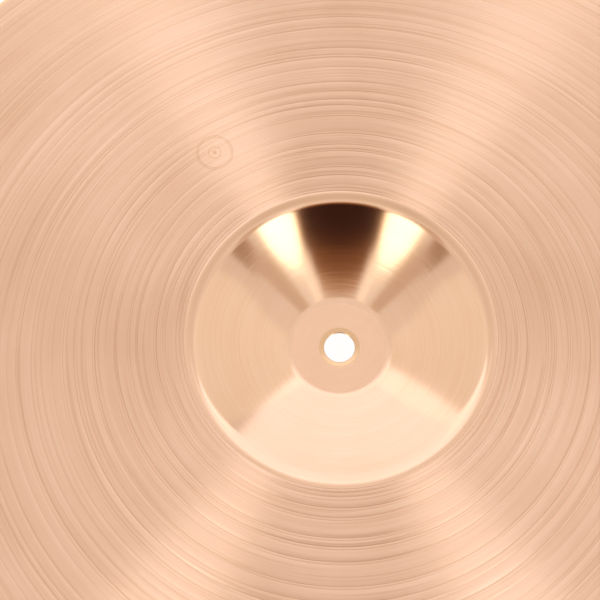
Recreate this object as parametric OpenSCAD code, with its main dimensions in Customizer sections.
// Crash cymbal, bell up. It is one piece of bronze: a flat crown with the mounting hole,
// a bell, and a bow that thins towards a rounded rim. The underside is the hollow side.
// The origin is the centre of the mounting hole, halfway through the crown's metal, and
// +Z is the hole's axis, out of the top of the bell.

/* [Outline] */
// Diameter over the rim
cymbal_d = 406.4; // [350:0.1:460]
// Diameter of the bell line, where the foot of the bell meets the bow
bell_d = 121; // [110:1:135]
// Diameter of the flat crown round the mounting hole
crown_d = 38; // [34:1:48]

/* [Slopes] */
// Slope of the bell wall next to the crown, in degrees
wall_top_slope = 24; // [20:0.5:28]
// Slope of the bell wall next to its foot, in degrees
wall_foot_slope = 36; // [32:0.5:42]
// Slope of the bow at the bell line, in degrees
bow_top_slope = 7; // [4:0.5:10]
// Slope of the bow at the rim, in degrees
bow_rim_slope = 12; // [11:0.5:16]

/* [Blends] */
// Radial width of the blend from the crown into the bell wall
crown_blend_w = 3; // [3:0.5:8]
// Radial width of the blend from the bell wall into the bow
foot_blend_w = 5; // [4:0.5:8]

/* [Metal] */
// Thickness of the crown and of the bell
bell_t = 1.2; // [1:0.1:2]
// Thickness at the rim
rim_t = 0.7; // [0.5:0.1:1]

/* [Mounting hole] */
// Diameter of the mounting hole
hole_d = 12.7; // [11:0.1:14]
// Outer diameter of the dished edge round the underside of the hole
dish_d = 18.6; // [16:0.1:22]
// Depth of that dished edge
dish_depth = 0.4; // [0.2:0.05:0.5]
// Width of the broken edge round the top of the hole
top_break = 0.1; // [0.05:0.05:0.3]

/* [Hidden] */

BRONZE = [0.86, 0.68, 0.5];
REVOLVE_FN = 180;

hole_r = hole_d / 2;
dish_r = dish_d / 2;
crown_r = crown_d / 2;
bell_r = bell_d / 2;
rim_centre_r = cymbal_d / 2 - rim_t / 2;
wall_w = bell_r - crown_r - crown_blend_w - foot_blend_w;

// Steps of each arc of the section
blend_steps = 10;
wall_steps = 10;
bow_steps = 24;
rim_steps = 8;

// The section's middle line is a chain of arcs. Each of its points is [radius, height, slope].
function last(points) = points[len(points) - 1];

// The arc that goes on from point p over the radial width w, and ends at the given slope
function arc_on(p, w, slope, steps) =
    let (arc_r = w / (sin(slope) - sin(p[2])))
    [for (i = [1:steps])
        let (s = p[2] + (slope - p[2]) * i / steps)
        [p[0] + arc_r * (sin(s) - sin(p[2])), p[1] - arc_r * (cos(p[2]) - cos(s)), s]];

crown_end = [crown_r, 0, 0];
crown_blend = arc_on(crown_end, crown_blend_w, wall_top_slope, blend_steps);
wall = arc_on(last(crown_blend), wall_w, wall_foot_slope, wall_steps);
foot_blend = arc_on(last(wall), foot_blend_w, bow_top_slope, blend_steps);
bow = arc_on(last(foot_blend), rim_centre_r - bell_r, bow_rim_slope, bow_steps);
middle_line = concat([crown_end], crown_blend, wall, foot_blend, bow);

// Thickness of the metal at radius r: even over the bell, then thinning along the bow
function metal_t(r) =
    r < bell_r ? bell_t
    : bell_t + (rim_t - bell_t) * (r - bell_r) / (rim_centre_r - bell_r);

// The point above or below point p of the middle line, on the surface on that side
function surface_point(p, side) =
    let (off = side * metal_t(p[0]) / 2)
    [p[0] + off * sin(p[2]), p[1] + off * cos(p[2])];

// The round nose of the rim, from the top surface over to the underside
function rim_nose(p) =
    [for (i = [1:rim_steps - 1])
        let (turn = p[2] + 180 * i / rim_steps)
        [p[0] + rim_t / 2 * sin(turn), p[1] + rim_t / 2 * cos(turn)]];

// The hole's edge, from the dished underside up its plain wall to the crown's top
hole_edge = [
    [dish_r, -bell_t / 2],
    [hole_r, -bell_t / 2 + dish_depth],
    [hole_r, bell_t / 2 - top_break],
    [hole_r + top_break, bell_t / 2]
];

points_count = len(middle_line);
section = concat(
    hole_edge,
    [for (p = middle_line) surface_point(p, 1)],
    rim_nose(last(middle_line)),
    [for (i = [points_count - 1:-1:0]) surface_point(middle_line[i], -1)]
);

module cymbal() {
    color(BRONZE)
        rotate_extrude($fn = REVOLVE_FN)
            polygon(section);
}

cymbal();
